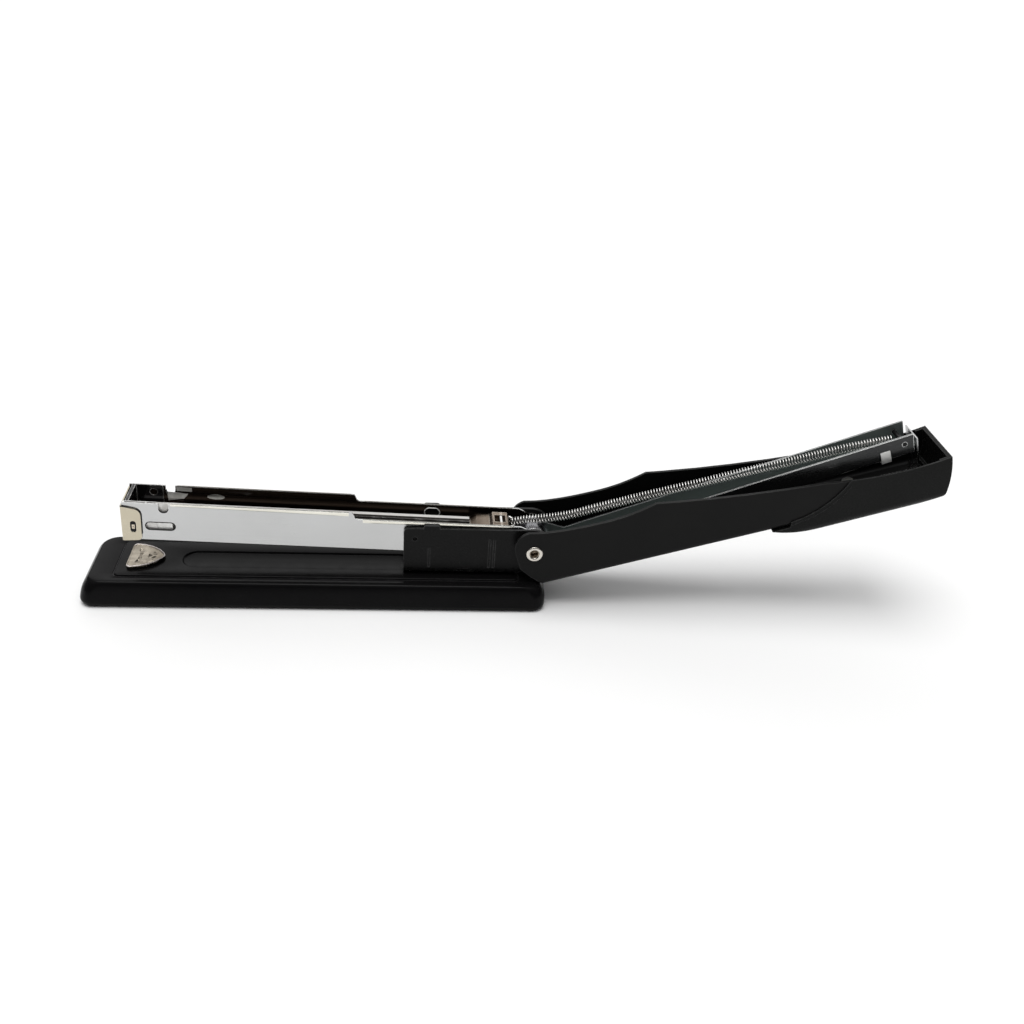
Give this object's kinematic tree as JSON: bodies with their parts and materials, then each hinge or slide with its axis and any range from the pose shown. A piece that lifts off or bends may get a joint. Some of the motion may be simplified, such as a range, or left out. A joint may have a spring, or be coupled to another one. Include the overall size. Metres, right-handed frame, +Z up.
{
  "type": "desk stapler",
  "caption": "Long-arm desk stapler swung open for loading: channelled base, chrome magazine on a hinge bracket, and a black handle with a hold-down channel and long spring.",
  "frame": {"origin": "centre of the rest face under the base pad", "axes": "+X along the base towards the hinge end and the open handle, +Y to the far side, +Z up"},
  "size_m": [0.3612, 0.04, 0.0837],
  "materials": {
    "black_enamel": "satin black stove enamel",
    "bracket_enamel": "matte black enamel",
    "handle_enamel": "satin black powder coat",
    "cap_plastic": "fine-grained black moulding",
    "pad_rubber": "ribbed black rubber",
    "magazine_chrome": "bright chrome plate",
    "guard_nickel": "satin nickel plate, warm",
    "anvil_nickel": "nickel plate, worn to bronze",
    "rail_steel": "oiled bright steel",
    "blued_steel": "blackened steel",
    "channel_steel": "grey phosphated steel",
    "pusher_bronze": "bronze-passivated steel",
    "spring_wire": "bright spring wire",
    "spring_steel": "spring steel",
    "blade_steel": "hardened ground steel",
    "nickel_rivet": "nickel-plated rivet",
    "zinc_steel": "zinc-plated steel"
  },
  "bodies": {
    "base": {"base_shell": "black_enamel", "base_pad": "pad_rubber", "hanger_bracket": "bracket_enamel", "bracket_rivets": "zinc_steel", "lift_spring": "spring_steel", "hinge_pin": "nickel_rivet", "hinge_spacers": "zinc_steel", "spring_bush": "zinc_steel", "anvil_spring": "spring_steel"},
    "anvil": {"anvil_plate": "anvil_nickel", "anvil_stud": "zinc_steel", "anvil_clip": "spring_steel"},
    "magazine": {"magazine_housing": "magazine_chrome", "staple_rail": "rail_steel", "rail_pins": "zinc_steel", "nose_guide": "blued_steel", "front_guard": "guard_nickel"},
    "pusher": {"pusher": "pusher_bronze", "pusher_pin": "zinc_steel"},
    "channel": {"hold_channel": "channel_steel", "channel_clip": "zinc_steel", "anchor_pin": "zinc_steel", "pusher_spring": "spring_wire"},
    "handle": {"handle_shell": "handle_enamel", "grip_cap": "cap_plastic", "cap_screws": "zinc_steel", "driver_blade": "blade_steel", "blade_rivets": "zinc_steel", "return_leaf": "spring_steel", "leaf_rivet": "zinc_steel"}
  },
  "joints": [
    {"name": "anvil_turn", "type": "hinge", "parent": "base", "child": "anvil", "pos_m": [-0.0722, 0, 0.012], "axis": [0, 0, 1], "range_deg": [0, 180]},
    {"name": "magazine_press", "type": "hinge", "parent": "base", "child": "magazine", "pos_m": [0.0916, 0, 0.0261], "axis": [0, -1, 0], "range_deg": [0, 4.1], "stiffness_Nm_per_rad": 6, "springref_deg": -6.88, "deforming": ["lift_spring"]},
    {"name": "channel_swing", "type": "hinge", "parent": "magazine", "child": "channel", "pos_m": [0.0916, 0, 0.0261], "axis": [0, -1, 0], "range_deg": [0, 155.4], "deforming": ["pusher_spring"]},
    {"name": "handle_press", "type": "hinge", "parent": "channel", "child": "handle", "pos_m": [0.0916, 0, 0.0261], "axis": [0, -1, 0], "range_deg": [0, 4.56], "stiffness_Nm_per_rad": 4, "springref_deg": -8.59, "deforming": ["return_leaf"]},
    {"name": "pusher_slide", "type": "slide", "parent": "magazine", "child": "pusher", "axis": [-0.9995, 0, 0.0325], "range_m": [0, 0.135], "stiffness_N_per_m": 12, "springref_m": -0.03}
  ]
}
